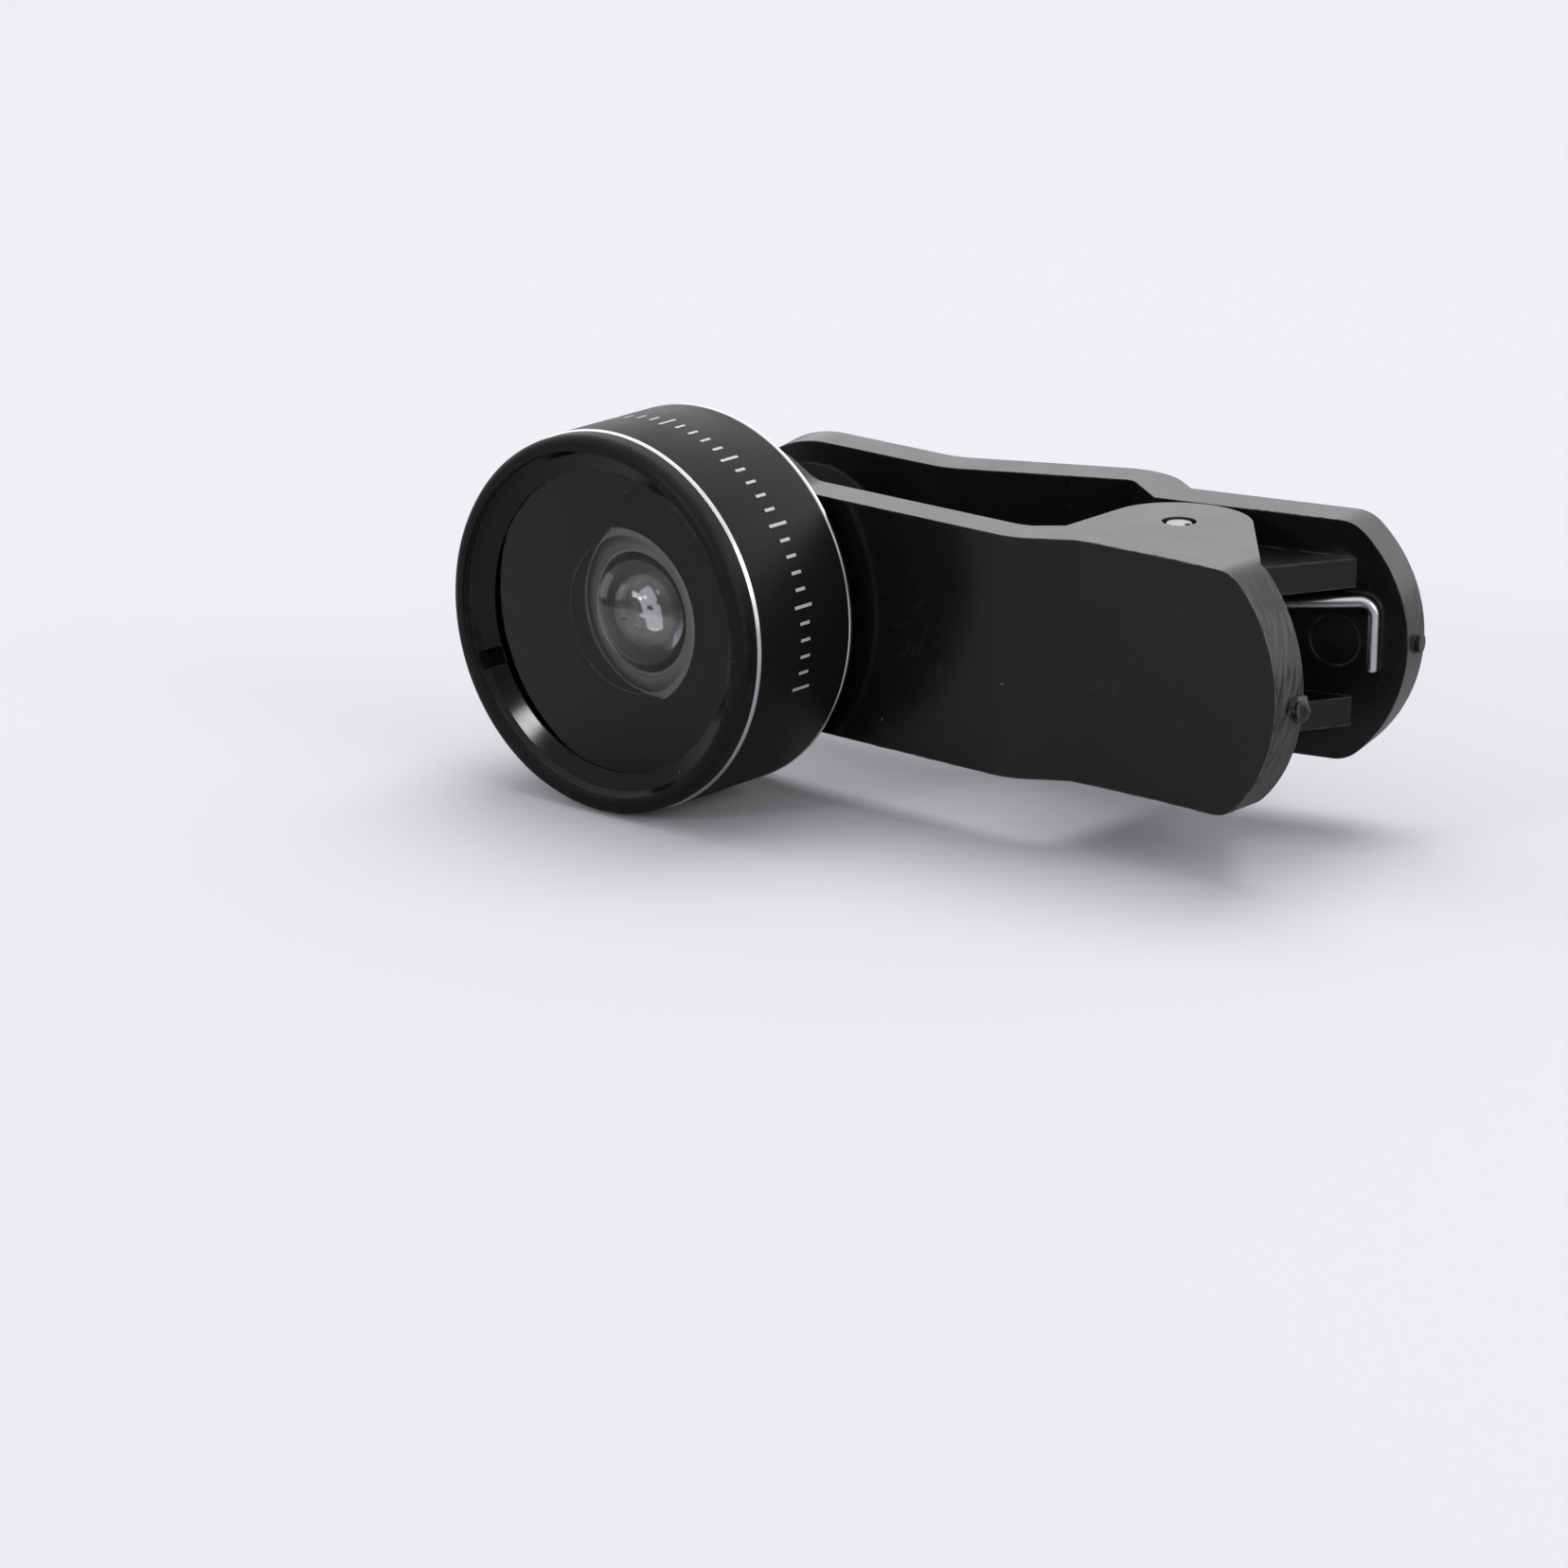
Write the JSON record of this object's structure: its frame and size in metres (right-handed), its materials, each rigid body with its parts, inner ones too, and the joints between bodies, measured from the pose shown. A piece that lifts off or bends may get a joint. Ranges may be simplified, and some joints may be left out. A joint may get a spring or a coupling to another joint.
{
  "type": "clip-on phone lens",
  "caption": "Wide-angle lens in a round black barrel on a spring clip whose padded jaws grip a phone over its camera.",
  "frame": {"origin": "where the optical axis crosses the plane of the phone's back, which is the front pad's face", "axes": "-Y along the optical axis out of the lens, +X along the clip's arm to the hinge and the handles, +Z along the hinge pin"},
  "size_m": [0.0585, 0.0352, 0.026],
  "materials": {
    "black_plastic": "moulded, half gloss, scuffed at the handle ends",
    "black_anodised": "black anodised, satin, with two bright cut rings",
    "optical_glass": "polished and coated",
    "pin_steel": "plain",
    "spring_steel": "plated wire",
    "pad_rubber": "matt",
    "baffle_film": "dead matt"
  },
  "bodies": {
    "clip_front": {"front_lever": "black_plastic", "front_jaw_pad": "pad_rubber", "hinge_pin": "pin_steel", "torsion_spring": "spring_steel"},
    "clip_rear": {"rear_lever": "black_plastic", "rear_jaw_pad": "pad_rubber"},
    "lens": {"lens_barrel": "black_anodised", "mount_base": "black_anodised", "front_retaining_ring": "black_anodised", "front_element": "optical_glass", "front_spacer": "black_anodised", "light_baffle": "baffle_film", "second_element": "optical_glass", "lens_cell": "black_anodised", "third_element": "optical_glass", "spacer_sleeve": "black_anodised", "aperture_stop": "baffle_film", "fourth_element": "optical_glass", "rear_retaining_ring": "black_anodised"}
  },
  "joints": [
    {"name": "jaw_hinge", "type": "hinge", "parent": "clip_front", "child": "clip_rear", "pos_m": [0.031, 0.0074, 0], "axis": [0, 0, -1], "range_deg": [-11.8, 54], "stiffness_Nm_per_rad": 0.15, "springref_deg": -51.57, "deforming": ["torsion_spring"]},
    {"name": "lens_thread", "type": "hinge", "parent": "clip_front", "child": "lens", "pos_m": [0, 0, 0], "axis": [0, -1, 0], "range_deg": [0, 900]}
  ]
}
